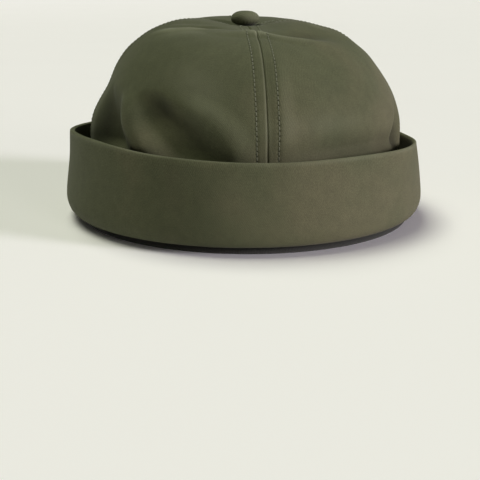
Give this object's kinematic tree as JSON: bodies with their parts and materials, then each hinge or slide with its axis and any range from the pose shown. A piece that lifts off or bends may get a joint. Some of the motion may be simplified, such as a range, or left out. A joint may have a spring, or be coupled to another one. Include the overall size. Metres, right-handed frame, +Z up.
{
  "type": "sailor cap",
  "caption": "Brimless docker cap of seamed cloth panels with a covered button on top, a wide turned-up cuff and a dark sweatband round its open underside.",
  "frame": {"origin": "on the floor that the cap rests on, below the button, in the middle of the head opening", "axes": "+Z up towards the button, front seam towards -Y, +X to the wearer's left"},
  "size_m": [0.2134, 0.2234, 0.1184],
  "materials": {
    "olive_twill": "matt cotton twill",
    "black_band": "matt woven tape"
  },
  "bodies": {
    "root": {"crown_panel_front_right": "olive_twill", "crown_panel_back_right": "olive_twill", "crown_panel_back_left": "olive_twill", "crown_panel_front_left": "olive_twill", "crown_button": "olive_twill", "turned_up_cuff": "olive_twill", "sweatband": "black_band"}
  },
  "joints": []
}
